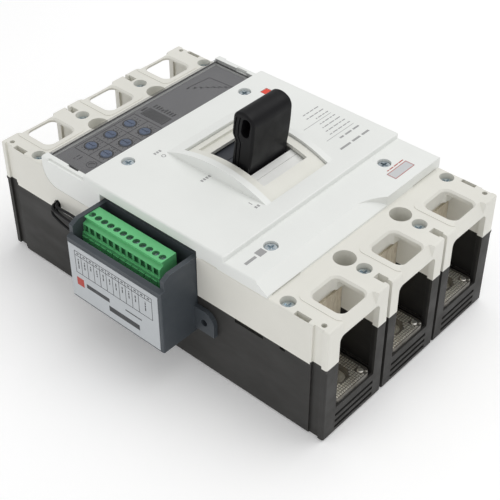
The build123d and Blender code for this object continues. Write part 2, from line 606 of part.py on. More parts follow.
with BuildPart() as handle_knob:
    with BuildSketch(Plane.YZ.offset(-KNOB_HALF)):
        with BuildLine():
            foot_a = HANDLE_PLANE.from_local_coords(Vector(-4.25, YOKE_TIP, 0))
            foot_b = HANDLE_PLANE.from_local_coords(Vector(4.25, YOKE_TIP, 0))
            ThreePointArc((8.3, 90.9), (11.1, 91.4), (14.0, 90.6))
            ThreePointArc((14.0, 90.6), (15.9, 88.9), (16.6, 86.2))
            ThreePointArc((16.6, 86.2), (15.8, 76.2), (13.9, 65.3))
            Polyline((13.9, 65.3), (foot_b.Y, foot_b.Z), (foot_a.Y, foot_a.Z))
            Polyline((foot_a.Y, foot_a.Z), (5.3, 68.5), NECK, SHOULDER_CORNER, (6.2, 88.2))
            ThreePointArc((6.2, 88.2), (6.9, 89.9), (8.3, 90.9))
        make_face()
    extrude(amount=2 * KNOB_HALF)
    side_edges = handle_knob.edges().filter_by(lambda e: abs(abs(e.center().X) - KNOB_HALF) < 0.01)
    fillet([e for e in side_edges if e.center().Z > 68], 1.1)
    for side in ENDS:
        with BuildSketch(Plane.YZ.offset(side * (KNOB_HALF - 5))):
            with Locations(GRIP_SLOT):
                SlotOverall(8.6, 4.2, rotation=80)
        extrude(amount=side * 6, mode=Mode.SUBTRACT)
        with BuildSketch(Plane.YZ.offset(side * (KNOB_HALF - 1.3))):
            for inset, top in ((1.6, 88.8), (3.4, 89.2)):
                bend = (NECK[0] + inset, NECK[1] - 0.2)
                corner = (SHOULDER_CORNER[0] + inset, SHOULDER_CORNER[1] + 0.2)
                with BuildLine():
                    Polyline((corner[0] + 1.3, top), (corner[0] + 0.5, 85.6), corner, bend)
                    Polyline(bend, (5.6 + inset, 69), (5.5 + inset, 64.5))
                trace(line_width=0.5)
        extrude(amount=side * 2, mode=Mode.SUBTRACT)
    with BuildSketch(HANDLE_PLANE.offset(-KNOB_HALF)):
        with BuildLine():
            low_a = at_angle(YOKE_TIP + 0.05, -FLANGE_HALF)
            low_b = at_angle(YOKE_TIP + 0.05, FLANGE_HALF)
            high_a = at_angle(FLANGE_R - 0.05, -FLANGE_HALF)
            high_b = at_angle(FLANGE_R - 0.05, FLANGE_HALF)
            ThreePointArc(high_a, (0, FLANGE_R - 0.05), high_b)
            Polyline(high_b, (low_b[0], YOKE_TIP), (low_a[0], YOKE_TIP), high_a)
        make_face()
    extrude(amount=2 * KNOB_HALF)
save(handle_knob, "handle_knob")


def shutter(start, end, node):
    """A curved slide that keeps the handle window closed as the handle moves."""
    angles = (start, (start + end) / 2, end)
    with BuildPart() as slide:
        with BuildSketch(HANDLE_PLANE.offset(-SHUTTER_HALF)):
            with BuildLine():
                inner = ThreePointArc(*(at_angle(FLANGE_R, angle) for angle in angles))
                outer = ThreePointArc(*(at_angle(FLANGE_R + SHUTTER_T, angle) for angle in angles))
                Line(inner @ 0, outer @ 0)
                Line(inner @ 1, outer @ 1)
            make_face()
        extrude(amount=2 * SHUTTER_HALF)
        line_angle = start + math.copysign(4.2, start)
        with BuildSketch(HANDLE_PLANE.offset(-SHUTTER_HALF)):
            with Locations(at_angle(FLANGE_R + SHUTTER_T, line_angle)):
                Rectangle(0.35, 0.8, rotation=-line_angle)
        extrude(amount=2 * SHUTTER_HALF, mode=Mode.SUBTRACT)
    save(slide, node)


shutter(SHUTTER_SPAN[0], SHUTTER_SPAN[1], "shutter_front")
shutter(-SHUTTER_SPAN[0], -SHUTTER_SPAN[1], "shutter_rear")

KNEE = (12.0, 33.0)
knee_local = HANDLE_PLANE.to_local_coords(Vector(0, *KNEE))
link_run = Vector(0, LINK_PIN) - Vector(knee_local.X, knee_local.Y)
link_turn = math.degrees(math.atan2(link_run.Y, link_run.X))
with BuildPart() as upper_links:
    for side in ENDS:
        with BuildSketch(HANDLE_PLANE.offset(5.4 if side > 0 else -6.9)):
            with Locations((knee_local.X / 2, (knee_local.Y + LINK_PIN) / 2)):
                SlotCenterToCenter(link_run.length, 5.2, rotation=link_turn)
        extrude(amount=1.5)
    rod((-9.6, 9.6), KNEE[0], KNEE[1], 1.4)
    hinge_pin = HANDLE_PLANE.from_local_coords((0, LINK_PIN, 0))
    rod((-10.8, 10.8), hinge_pin.Y, hinge_pin.Z, 1.5)
    block((-9.7, -9.0), (KNEE[0] - 2, KNEE[0] + 2), (KNEE[1] - 2, KNEE[1] + 2), Mode.SUBTRACT)
    block((9.0, 9.7), (KNEE[0] - 2, KNEE[0] + 2), (KNEE[1] - 2, KNEE[1] + 2), Mode.SUBTRACT)
save(upper_links, "upper_links")

with BuildPart() as main_springs:
    spring_top = HANDLE_PLANE.from_local_coords(Vector(2.6, 38.3, 0))
    spring_foot = Vector(0, *KNEE)
    direction = (spring_top - spring_foot).normalized()
    length = (spring_top - spring_foot).length
    for side in ENDS:
        start = Vector(side * 1.8, spring_foot.Y, spring_foot.Z) + direction * 1.6
        with BuildSketch(Plane(origin=start, x_dir=(1, 0, 0), z_dir=(0, -direction.Z, direction.Y))):
            with BuildLine():
                Polyline((0, 0), (1.0, 0), (1.0, length - 1.6), (0, length - 1.6), close=True)
            make_face()
            for turn in range(15):
                with Locations((1.0, 2 + turn * 1.4)):
                    Circle(0.6)
            with Locations((-2, length / 2)):
                Rectangle(4, 2 * length, mode=Mode.SUBTRACT)
        revolve(axis=Axis(start, direction))
save(main_springs, "main_springs")

with BuildPart() as lower_links:
    for side in ENDS:
        link_x = 3.5 if side > 0 else -5.0
        with BuildSketch(Plane(origin=(link_x, *SHAFT), x_dir=(0, 1, 0), z_dir=(1, 0, 0))):
            Circle(8.4)
            with BuildLine():
                Polyline((-6.5, 0), (-11.8, 12.4), (-9.2, 22.6))
                Polyline((-9.2, 22.6), (-4.0, 23.2), (-3.4, 12), (3, 7), (-6.5, 0))
            make_face()
            Circle(SHAFT_R + 0.05, mode=Mode.SUBTRACT)
            with Locations((-7.3, 17.1)):
                SlotOverall(12.2, 4.4, rotation=72, mode=Mode.SUBTRACT)
        extrude(amount=1.5)
save(lower_links, "lower_links")

with BuildPart() as crossbar:
    rod((-47.6, 47.6), *SHAFT, SHAFT_R)
    rod((-49.8, 49.8), *SHAFT, 2.5)
save(crossbar, "crossbar")

ARM_HALF = 3.0
TAIL_R = 12.0
TAIL_TOP = 3.0
arm_cos = math.cos(math.radians(OPEN_ANGLE))
arm_sin = math.sin(math.radians(OPEN_ANGLE))


def tail_point(rise):
    """A point on the round end of the moving arm's tail."""
    return (-math.sqrt(TAIL_R ** 2 - rise ** 2), rise)


for number, pole in enumerate(POLES, 1):
    arm_plane = Plane(origin=(pole - ARM_HALF, *SHAFT), x_dir=(0, arm_cos, arm_sin), z_dir=(1, 0, 0))
    with BuildPart() as moving_arm:
        with BuildSketch(arm_plane):
            Circle(8.6)
            with BuildLine():
                Polyline((5, 7.2), (6, -5), (24, 1.6), (31, 1.6), (31.6, 3.2))
                Polyline((31.6, 3.2), (30, 5.8), (24, 6.2), (5, 7.2))
            make_face()
            with BuildLine():
                ThreePointArc(tail_point(0), tail_point(TAIL_TOP / 2), tail_point(TAIL_TOP))
                Polyline(tail_point(TAIL_TOP), (-6, TAIL_TOP), (-6, 0), tail_point(0))
            make_face()
            Circle(SHAFT_R + 0.05, mode=Mode.SUBTRACT)
        extrude(amount=2 * ARM_HALF)
    save(moving_arm, f"moving_arm_{number}")

with BuildPart() as moving_contacts:
    for pole in POLES:
        arm_plane = Plane(origin=(pole - ARM_HALF, *SHAFT), x_dir=(0, arm_cos, arm_sin), z_dir=(1, 0, 0))
        with BuildSketch(arm_plane):
            with Locations((27.25, 0.925)):
                Rectangle(5.5, 1.35)
        extrude(amount=2 * ARM_HALF)
save(moving_contacts, "moving_contacts")

with BuildPart() as flexible_braids:
    tail = Vector(0, *SHAFT) - Vector(0, arm_cos, arm_sin) * (TAIL_R + 0.05)
    tail += Vector(0, -arm_sin, arm_cos) * TAIL_TOP / 2
    lead_in = tail - Vector(0, arm_cos, arm_sin) * 2.4
    for pole in POLES:
        rest_z = BAR_TOP + 0.7
        hoop = [(pole, -8, rest_z), (pole, -2.5, rest_z), (pole, 1.6, 22)]
        hoop += [(pole, lead_in.Y, lead_in.Z), (pole, tail.Y, tail.Z)]
        with BuildLine() as braid_line:
            FilletPolyline(*hoop, radius=1.1)
        with BuildSketch(Plane(origin=hoop[0], x_dir=(1, 0, 0), z_dir=(0, 1, 0))):
            Rectangle(5, 1.4)
        sweep(path=braid_line.line)
save(flexible_braids, "flexible_braids")


# ---- terminals
def terminal(pole, end, inner, node):
    """A plated terminal pad and the conductor behind it."""
    with BuildPart() as bar:
        block((pole - PAD_HALF, pole + PAD_HALF), end_span(end, BAY_Y + 0.1, 87.5), (BAY_FLOOR, BAR_TOP))
        corners = bar.edges().filter_by(Axis.Z).filter_by(lambda e: abs(e.center().Y) > 87)
        fillet(corners, 2.5)
        block((pole - BAR_HALF, pole + BAR_HALF), (end * 70, inner), (BAY_FLOOR, BAR_TOP))
        post(pole, end * TERMINAL_Y, (10, 20), PAD_BORE_R, Mode.SUBTRACT)
        rim = bar.edges().filter_by(GeomType.CIRCLE).group_by(Axis.Z)[-1]
        chamfer([e for e in rim if abs(e.radius - PAD_BORE_R) < 0.01], 0.8)
        post(pole - PIN_X, end * PIN_Y, (10, 20), PIN_R + 0.02, Mode.SUBTRACT)
    save(bar, node)


for number, pole in enumerate(POLES, 1):
    terminal(pole, 1, 44.0, f"line_terminal_{number}")
    terminal(pole, -1, -8.0, f"load_terminal_{number}")

with BuildPart() as fixed_contacts:
    for pole in POLES:
        block((pole - 4, pole + 4), (44.2, 50), (BAR_TOP, BAR_TOP + 1.5))
save(fixed_contacts, "fixed_contacts")

with BuildPart() as terminal_nuts:
    for pole in POLES:
        for end in ENDS:
            with BuildSketch(Plane.XY.offset(6.4)):
                with Locations((pole, end * TERMINAL_Y)):
                    RegularPolygon(6.5, 6, major_radius=False)
            extrude(amount=6.8)
            post(pole, end * TERMINAL_Y, (6, 14), STUD_R, Mode.SUBTRACT)
save(terminal_nuts, "terminal_nuts")

with BuildPart() as terminal_pins:
    for pole in POLES:
        for end in ENDS:
            post(pole - PIN_X, end * PIN_Y, (10.6, BAR_TOP + 0.5), PIN_R)
    tops = terminal_pins.edges().filter_by(GeomType.CIRCLE).group_by(Axis.Z)[-1]
    fillet(tops, 0.4)
save(terminal_pins, "terminal_pins")

with BuildPart() as terminal_barriers:
    for pole in POLES:
        for end in ENDS:
            wall = (pole - BARRIER_HALF, pole + BARRIER_HALF)
            block(wall, end_span(end, BAY_Y, BAY_Y + BARRIER_T), (BAR_TOP, BARRIER_TOP))
save(terminal_barriers, "terminal_barriers")

# ---- arc chutes
for number, pole in enumerate(POLES, 1):
    with BuildPart() as arc_plates:
        for level in range(5):
            height = 21 + 3 * level
            block((pole - 10.6, pole + 10.6), (36, 57), (height, height + 1.2))
            block((pole - 4.5, pole + 4.5), (35, 52), (height - 1, height + 2), Mode.SUBTRACT)
    save(arc_plates, f"arc_plates_{number}")

with BuildPart() as arc_walls:
    for pole in POLES:
        for side in ENDS:
            block((pole + side * 10.6, pole + side * 12.2), (35, 58), (FLOOR_Z, 36))
save(arc_walls, "arc_walls")

# ---- bearing keepers that close the shaft slots
with BuildPart() as bearing_keepers:
    for side in ENDS:
        block((side * 48.6, side * 49.9), (SHAFT[0] - 2.45, SHAFT[0] + 2.45), (SHAFT[1] + 2.65, PART_Z))
        block((side * 48.6, side * 49.9), (-31.45, -28.55), (TRIP_BAR[1] + 1.65, PART_Z))
save(bearing_keepers, "bearing_keepers")

# ---- fasteners
with BuildPart() as housing_screws:
    for x, y in HOUSING_SCREWS:
        post(x, y, HOUSING_HEAD, HOUSING_HEAD_R)
        post(x, y, (22, HOUSING_HEAD[0]), 1.4)
        cross_recess(x, y, HOUSING_HEAD[1], 1.8)
    circles = housing_screws.edges().filter_by(GeomType.CIRCLE)
    fillet([e for e in circles if e.radius > 2.7 and e.center().Z > HOUSING_HEAD[1] - 0.1], 0.5)
save(housing_screws, "housing_screws")

with BuildPart() as cover_screws:
    for x, y, top in COVER_SCREWS:
        rim = top - COVER_HEAD_DEEP
        post(x, y, (rim - COVER_HEAD_T, rim), COVER_HEAD_R)
        post(x, y, (48, rim - COVER_HEAD_T), 1.2)
        cross_recess(x, y, rim, 1.6)
    circles = cover_screws.edges().filter_by(GeomType.CIRCLE).filter_by(lambda e: e.radius > 2.5)
    rims = [PANEL_Z - COVER_HEAD_DEEP, STEP_Z - COVER_HEAD_DEEP]
    fillet([e for e in circles if min(abs(e.center().Z - rim) for rim in rims) < 0.1], 0.4)
save(cover_screws, "cover_screws")

# ---- side terminal module
with BuildPart() as module_box:
    ledge = (POCKET_Z[0] + 0.3, MOD_X[0] + 3.4)
    sill = [(ledge[1], MOD_Z[0]), (MOD_X[1], MOD_Z[0]), (MOD_X[1], 48.4), (70.3, 49.3), (70.3, 53.2)]
    sill += [(67, MOD_Z[1]), (MOD_X[0], MOD_Z[1]), (MOD_X[0], ledge[0]), (ledge[1], ledge[0])]
    with BuildSketch(Plane.XZ.offset(-MOD_Y[1])):
        with BuildLine():
            Polyline(*sill, close=True)
        make_face()
    extrude(amount=MOD_Y[1] - MOD_Y[0])
    outer = module_box.edges().filter_by(Axis.Z).filter_by(lambda e: e.center().X > 72)
    fillet(outer, 0.6)
    block((55.6, 70.3), (MOD_Y[0] + 2, MOD_Y[1] - 2), (20.6, 60), Mode.SUBTRACT)
    block((52.2, 56), (MOD_Y[0] + 2, MOD_Y[1] - 2), (33.3, 60), Mode.SUBTRACT)
    block((70.2, 75), (MOD_Y[0] + 2, MOD_Y[1] - 2), (49.3, 60), Mode.SUBTRACT)
    for y in (MOD_Y[0] + 4.5, MOD_Y[1] - 4.5):
        block((57, 59), (y - 1, y + 1), (20.6, 42))
        block((67.5, 69.5), (y - 1, y + 1), (20.6, 42))
    for edge_y, out in ((MOD_Y[1], 1), (MOD_Y[0], -1)):
        ear_tip = edge_y + out * EAR_REACH
        ear_hole = edge_y + out * 5.3
        with BuildSketch(Plane.YZ.offset(EAR_X[0])):
            with BuildLine():
                Polyline((edge_y - out, 21.3), (ear_tip, 21.3), (ear_tip, 26.5))
                ThreePointArc((ear_tip, 26.5), (edge_y + out * 8.9, 30.4), (edge_y + out * 5, 32))
                Polyline((edge_y + out * 5, 32), (edge_y - out, 32), (edge_y - out, 21.3))
            make_face()
            with Locations((ear_hole, 26.2)):
                Circle(EAR_HOLE_R, mode=Mode.SUBTRACT)
        extrude(amount=EAR_X[1] - EAR_X[0])
    for y in MODULE_SCREW_Y:
        rod((53, 56), y, MODULE_SCREW_Z, 1.6, Mode.SUBTRACT)
    block((56.3, 59.7), (-28, -24), (35.2, 41.5), Mode.SUBTRACT)
save(module_box, "module_box")

with BuildPart() as module_screws:
    for y in MODULE_SCREW_Y:
        rod((55.65, 57.2), y, MODULE_SCREW_Z, 2.7)
        rod((49.0, 55.6), y, MODULE_SCREW_Z, 1.2)
        block((56.4, 57.2), (y - 1.5, y + 1.5), (MODULE_SCREW_Z - 0.3, MODULE_SCREW_Z + 0.3), Mode.SUBTRACT)
        block((56.4, 57.2), (y - 0.3, y + 0.3), (MODULE_SCREW_Z - 1.5, MODULE_SCREW_Z + 1.5), Mode.SUBTRACT)
save(module_screws, "module_screws")

with BuildPart() as module_label:
    block((MOD_X[1], MOD_X[1] + 0.2), (MOD_Y[0] + 0.7, 23.4), (19.4, 46.4))
save(module_label, "module_label")

with BuildPart() as module_board:
    block((52.6, 70.0), (MOD_Y[0] + 2.3, MOD_Y[1] - 2.3), (42.0, 43.6))
save(module_board, "module_board")

with BuildPart() as module_header:
    block((56.2, 66.2), HEADER_Y, (43.6, 46.4))
    for way in range(WAYS):
        y = WAY_Y + way * WAY_PITCH
        block((65.6, 67), (y + 1.5, y + 2.0), (44.2, 47), Mode.SUBTRACT)
        block((SLOT_X - 0.5, SLOT_X + 0.5), (y - 0.5, y + 0.5), (46.4, 50.4))
save(module_header, "module_header")

PLUG_PROFILE = [(56.1, 46.5), (65.7, 46.5), (65.7, 47.8), (65.0, 47.8), (65.0, 51.6), (63.1, 52.5)]
PLUG_PROFILE += [(63.1, 53.5), (63.9, 53.9), (63.9, 54.5), (56.1, 54.5)]
with BuildPart() as terminal_plug:
    with BuildSketch(Plane.XZ.offset(-PLUG_Y[1])):
        with BuildLine():
            Polyline(*PLUG_PROFILE, close=True)
        make_face()
    extrude(amount=PLUG_Y[1] - PLUG_Y[0])
    cuts = []
    for way in range(WAYS):
        y = WAY_Y + way * WAY_PITCH
        cuts.append(post(SLOT_X, y, (52.0, 56), 1.5, TOOL))
        cuts.append(block((64.0, 70), (y - 1.25, y + 1.25), (48.1, 51.3), TOOL))
        cuts.append(block((62.4, 70), (y + 0.1, y + 1.25), (48.1, 51.0), TOOL))
        cuts.append(block((SLOT_X - 0.7, SLOT_X + 0.7), (y - 0.7, y + 0.7), (46, 50.7), TOOL))
    add(cuts, mode=Mode.SUBTRACT)
save(terminal_plug, "terminal_plug")

with BuildPart() as plug_screws:
    for way in range(WAYS):
        y = WAY_Y + way * WAY_PITCH
        post(SLOT_X, y, (52.0, 53.3), 1.4)
        block((SLOT_X - 1.2, SLOT_X + 1.2), (y - 0.2, y + 0.2), (52.8, 54), Mode.SUBTRACT)
save(plug_screws, "plug_screws")


# ---- leads from the trip unit to the module
def bend_radii(points):
    """The largest arc radius that each corner's two runs allow."""
    radii = []
    for before, corner, after in zip(points, points[1:], points[2:]):
        first = Vector(*corner) - Vector(*before)
        second = Vector(*after) - Vector(*corner)
        turn = math.radians(first.get_angle(second))
        radii.append(0.45 * min(first.length, second.length) / math.tan(turn / 2))
    return radii


lead_lengths = []
with BuildPart() as leads:
    for route in LEAD_ROUTES:
        with BuildLine() as centre_line:
            FilletPolyline(*route, radius=bend_radii(route))
        with BuildSketch(Plane(origin=route[0], z_dir=centre_line.line % 0)):
            Circle(LEAD_R)
        sweep(path=centre_line.line)
        lead_lengths.append(sum(edge.length for edge in centre_line.edges()))
save(leads, "leads")
tightest = min(radius for route in LEAD_ROUTES for radius in bend_radii(route))
print("lead lengths", [round(length, 1) for length in lead_lengths], "tightest bend", round(tightest, 1))
print("lead volume ratio", round(leads.part.volume / (math.pi * LEAD_R ** 2 * sum(lead_lengths)), 3))

with BuildPart() as lead_grommets:
    teardrop((50.4, 52.4), PART_Z + SEAL_GAP, SEAL_GAP)
    for route in LEAD_ROUTES:
        start, elbow = Vector(*route[0]), Vector(*route[1])
        with BuildSketch(Plane(origin=start, z_dir=elbow - start)):
            Circle(LEAD_R + 0.02)
        extrude(amount=4, mode=Mode.SUBTRACT)
save(lead_grommets, "lead_grommets")
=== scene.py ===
"""Three-pole moulded-case circuit breaker, dressed around its CAD frame.

The camera, the lights, the floor and the depths of bumps are in metres.  The marks, the teeth and
the tinted boxes are in millimetres and are scaled by MM.
"""

import json
import math
import random

import bmesh
import bpy
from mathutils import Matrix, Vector


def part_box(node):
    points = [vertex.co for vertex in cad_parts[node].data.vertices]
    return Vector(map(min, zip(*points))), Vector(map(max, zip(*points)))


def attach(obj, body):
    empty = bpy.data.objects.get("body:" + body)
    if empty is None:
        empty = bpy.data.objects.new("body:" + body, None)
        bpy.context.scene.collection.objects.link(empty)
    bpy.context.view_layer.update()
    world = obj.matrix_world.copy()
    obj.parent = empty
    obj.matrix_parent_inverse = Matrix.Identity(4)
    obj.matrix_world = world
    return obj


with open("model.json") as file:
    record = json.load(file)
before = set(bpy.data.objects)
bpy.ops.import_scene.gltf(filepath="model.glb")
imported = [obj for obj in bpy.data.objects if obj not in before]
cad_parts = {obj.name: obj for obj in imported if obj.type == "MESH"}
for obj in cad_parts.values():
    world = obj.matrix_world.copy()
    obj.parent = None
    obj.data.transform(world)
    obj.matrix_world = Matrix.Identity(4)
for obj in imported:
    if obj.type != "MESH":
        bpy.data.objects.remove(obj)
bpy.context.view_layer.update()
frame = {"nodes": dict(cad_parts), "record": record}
nodes = frame["nodes"]
MM = 0.001
POLES = (-35.0, 0.0, 35.0)
WHITE = (1.0, 1.0, 1.0, 1.0)


# ---------------------------------------------------------------- camera, light and floor
CAMERA_PLACE = (0.28078, 0.25421, 0.32760)
CAMERA_AIM = (0.01466, 0.01761, 0.030)
CAMERA_LENS = 82.03
SENSOR_WIDTH = 36.0
WORLD_STRENGTH = 0.59
LIGHT_AIM = (0, 0, 0.03)
# name, place, size, power
LIGHTS = [
    ("key", (-0.30, 0.15, 0.85), (0.8, 0.8), 3.35),
    ("fill", (0.85, -0.30, 0.40), (0.7, 0.7), 0.9),
    ("front", (0.25, 0.90, 0.35), (0.7, 0.5), 0.35),
]
FLOOR_HALF = 3.0
FLOOR_Z = -0.0004
FLOOR_GLOW = 0.14


def point_at(thing, place, aim):
    """Puts a camera or a light at a place, looking at a point, and shows it in the scene."""
    thing.location = Vector(place)
    thing.rotation_mode = "QUATERNION"
    thing.rotation_quaternion = (Vector(aim) - thing.location).to_track_quat("-Z", "Y")
    bpy.context.scene.collection.objects.link(thing)


def add_camera():
    """A camera that looks down on the line end and on the module's side."""
    data = bpy.data.cameras.new("camera")
    data.lens = CAMERA_LENS
    data.sensor_width = SENSOR_WIDTH
    camera = bpy.data.objects.new("camera", data)
    point_at(camera, CAMERA_PLACE, CAMERA_AIM)
    bpy.context.scene.camera = camera


def add_light(name, place, size, power):
    """A soft rectangular studio light."""
    data = bpy.data.lights.new(name, "AREA")
    data.shape = "RECTANGLE"
    data.size, data.size_y = size
    data.energy = power
    point_at(bpy.data.objects.new(name, data), place, LIGHT_AIM)


def add_studio():
    """Pale floor, pale surroundings and three soft lights."""
    world = bpy.data.worlds.new("studio")
    world.use_nodes = True
    background = world.node_tree.nodes["Background"]
    background.inputs["Color"].default_value = WHITE
    background.inputs["Strength"].default_value = WORLD_STRENGTH
    bpy.context.scene.world = world
    bpy.context.scene.view_settings.view_transform = "Standard"
    for light in LIGHTS:
        add_light(*light)
    mesh = bpy.data.meshes.new("floor")
    corners = [(-FLOOR_HALF, -FLOOR_HALF, 0), (FLOOR_HALF, -FLOOR_HALF, 0),
               (FLOOR_HALF, FLOOR_HALF, 0), (-FLOOR_HALF, FLOOR_HALF, 0)]
    mesh.from_pydata(corners, [], [(0, 1, 2, 3)])
    floor = bpy.data.objects.new("floor", mesh)
    floor.location.z = FLOOR_Z
    bpy.context.scene.collection.objects.link(floor)
    mesh.materials.append(make_floor_material())


# ---------------------------------------------------------------- materials
class Graph:
    """A material's node tree, with short ways to add and join nodes."""

    def __init__(self, name):
        self.material = bpy.data.materials.new(name)
        self.material.use_nodes = True
        self.tree = self.material.node_tree
        self.shader = self.tree.nodes["Principled BSDF"]
        self.place = self.add("ShaderNodeTexCoord").outputs["Object"]

    def add(self, kind, **settings):
        node = self.tree.nodes.new(kind)
        for key, value in settings.items():
            setattr(node, key, value)
        return node

    def join(self, output, socket):
        self.tree.links.new(output, socket)

    def noise(self, scale, detail, stretch=None):
        """Noise in object space; scale is in features per metre."""
        place = self.place
        if stretch:
            mapping = self.add("ShaderNodeMapping")
            mapping.inputs["Scale"].default_value = stretch
            self.join(place, mapping.inputs["Vector"])
            place = mapping.outputs["Vector"]
        node = self.add("ShaderNodeTexNoise")
        node.inputs["Scale"].default_value = scale
        node.inputs["Detail"].default_value = detail
        self.join(place, node.inputs["Vector"])
        return node.outputs["Fac"]

    def spread(self, value, low, high, start=0.35, end=0.65):
        """Maps a noise value to a range."""
        node = self.add("ShaderNodeMapRange")
        node.inputs["From Min"].default_value = start
        node.inputs["From Max"].default_value = end
        node.inputs["To Min"].default_value = low
        node.inputs["To Max"].default_value = high
        self.join(value, node.inputs["Value"])
        return node.outputs["Result"]

    def blend(self, factor, first, second):
        """Mixes two colours, each a tuple or an output."""
        node = self.add("ShaderNodeMix", data_type="RGBA")
        self.join(factor, node.inputs["Factor"])
        for socket, colour in ((node.inputs[6], first), (node.inputs[7], second)):
            if isinstance(colour, tuple):
                socket.default_value = (*colour, 1.0)
            else:
                self.join(colour, socket)
        return node.outputs[2]

    def times(self, first, second):
        """The product of two outputs."""
        node = self.add("ShaderNodeMath", operation="MULTIPLY")
        self.join(first, node.inputs[0])
        self.join(second, node.inputs[1])
        return node.outputs[0]

    def inside(self, low, high):
        """1 inside a box given in millimetres, 0 outside it."""
        split = self.add("ShaderNodeSeparateXYZ")
        self.join(self.place, split.inputs[0])
        result = None
        for axis in range(3):
            for operation, limit in (("GREATER_THAN", low[axis]), ("LESS_THAN", high[axis])):
                test = self.add("ShaderNodeMath", operation=operation)
                self.join(split.outputs[axis], test.inputs[0])
                test.inputs[1].default_value = limit * MM
                passed = test.outputs[0]
                result = self.times(result, passed) if result else passed
        return result

    def bump(self, *layers):
        """Stacks (height, strength, distance) layers into the normal."""
        normal = None
        for height, strength, distance in layers:
            node = self.add("ShaderNodeBump")
            node.inputs["Strength"].default_value = strength
            node.inputs["Distance"].default_value = distance
            self.join(height, node.inputs["Height"])
            if normal:
                self.join(normal, node.inputs["Normal"])
            normal = node.outputs["Normal"]
        self.join(normal, self.shader.inputs["Normal"])

    def edge(self, radius):
        """Near 1 on an edge, 0 on a flat stretch."""
        bevel = self.add("ShaderNodeBevel", samples=4)
        bevel.inputs["Radius"].default_value = radius
        geometry = self.add("ShaderNodeNewGeometry")
        dot = self.add("ShaderNodeVectorMath", operation="DOT_PRODUCT")
        self.join(bevel.outputs["Normal"], dot.inputs[0])
        self.join(geometry.outputs["Normal"], dot.inputs[1])
        return self.spread(dot.outputs["Value"], 1.0, 0.0, 0.75, 0.995)


def shade(colour, factor):
    """The colour, lighter or darker."""
    return tuple(min(1.0, max(0.0, part * factor)) for part in colour)


GRAIN = 2600
GRAIN_DEPTH = 0.00004
EDGE_WIDTH = 0.00035
SCRATCH_DEPTH = 0.00003
WINDOW_ALPHA = 0.22
WEAVE_ANGLE = 0.7
PLATED = 0.95
BRUSHED = (1.0, 14.0, 1.0)
EVEN = (1.0, 1.0, 1.0)


def plastic(name, colour, rough, edge_highlight_gain, mottle, specular=0.45, insets=()):
    """Moulded plastic: fine grain, cloudiness, handling marks, painted edge highlights, and tinted
    boxes, some of which are painted shade.
    """
    graph = Graph(name)
    cloud = graph.spread(graph.noise(38, 5), 0, 1)
    body = graph.blend(cloud, shade(colour, 1 - mottle), shade(colour, 1 + mottle))
    # Tinted boxes; the case and plug boxes among them are painted shade in hollows.
    for low, high, tint in insets:
        body = graph.blend(graph.inside(low, high), body, tint)
    speck = graph.spread(graph.noise(5200, 2), 0, 0.5, 0.55, 0.8)
    body = graph.blend(speck, body, shade(colour, 1 + 2.2 * mottle))
    # Painted highlight: edges lightened in patches, standing in for the sheen caught on rounded
    # edges.
    edge_highlight = graph.times(graph.edge(EDGE_WIDTH), graph.spread(graph.noise(420, 4), 0.15, 0.8))
    body = graph.blend(edge_highlight, body, shade(colour, edge_highlight_gain))
    graph.join(body, graph.shader.inputs["Base Color"])
    smear = graph.noise(140, 6, (1.0, 0.35, 1.0))
    graph.join(graph.spread(smear, rough - 0.07, rough + 0.09), graph.shader.inputs["Roughness"])
    graph.shader.inputs["Specular IOR Level"].default_value = specular
    grain = (graph.noise(GRAIN, 3), 0.35, GRAIN_DEPTH)
    waves = (graph.noise(260, 3), 0.12, 2 * GRAIN_DEPTH)
    graph.bump(grain, waves)
    return graph.material


def metal(name, colour, rough, brush=BRUSHED, tarnish=None):
    """Plated metal: brushed lines, patchy tarnish and fine scratches."""
    graph = Graph(name)
    lines = graph.noise(900, 4, brush)
    patch = graph.spread(graph.noise(160, 6), 0, 0.8, 0.42, 0.7)
    body = graph.blend(graph.spread(lines, 0, 1), shade(colour, 0.86), shade(colour, 1.1))
    body = graph.blend(patch, body, tarnish or shade(colour, 0.62))
    graph.join(body, graph.shader.inputs["Base Color"])
    graph.shader.inputs["Metallic"].default_value = PLATED
    graph.join(graph.spread(lines, rough - 0.08, rough + 0.14), graph.shader.inputs["Roughness"])
    graph.bump((lines, 0.25, SCRATCH_DEPTH), (graph.noise(2400, 2), 0.1, SCRATCH_DEPTH))
    return graph.material


def printed(name, colour, rough=0.55):
    """Ink or printed film: nearly flat, with faint halftone and gloss changes."""
    graph = Graph(name)
    dots = graph.spread(graph.noise(6500, 1), 0, 1, 0.3, 0.7)
    tint = graph.blend(dots, shade(colour, 0.94), shade(colour, 1.05))
    graph.join(tint, graph.shader.inputs["Base Color"])
    gloss = graph.spread(graph.noise(220, 4), rough - 0.08, rough + 0.08)
    graph.join(gloss, graph.shader.inputs["Roughness"])
    graph.bump((graph.noise(3200, 2), 0.08, 0.00002))
    return graph.material


def smoked():
    """Smoked clear plastic: a thin grey veil with sharp gloss and faint wiping marks."""
    graph = Graph("smoke_window")
    cloud = graph.spread(graph.noise(60, 3), 0, 1)
    tint = graph.blend(cloud, (0.135, 0.135, 0.138), (0.165, 0.165, 0.168))
    graph.join(tint, graph.shader.inputs["Base Color"])
    wiped = graph.spread(graph.noise(240, 6, (0.3, 1.0, 1.0)), 0.10, 0.24)
    graph.join(wiped, graph.shader.inputs["Roughness"])
    graph.shader.inputs["Alpha"].default_value = WINDOW_ALPHA
    graph.shader.inputs["Specular IOR Level"].default_value = 0.4
    graph.bump((graph.noise(120, 3), 0.04, 0.00005))
    return graph.material


def fibre():
    """Pressed fibre board with flecks."""
    graph = Graph("fibre_board")
    fleck = graph.spread(graph.noise(1400, 6, (1.0, 1.0, 0.25)), 0, 1)
    tint = graph.blend(fleck, (0.50, 0.43, 0.32), (0.66, 0.60, 0.48))
    graph.join(tint, graph.shader.inputs["Base Color"])
    graph.join(graph.spread(fleck, 0.7, 0.9, 0, 1), graph.shader.inputs["Roughness"])
    graph.bump((fleck, 0.3, 0.00008))
    return graph.material


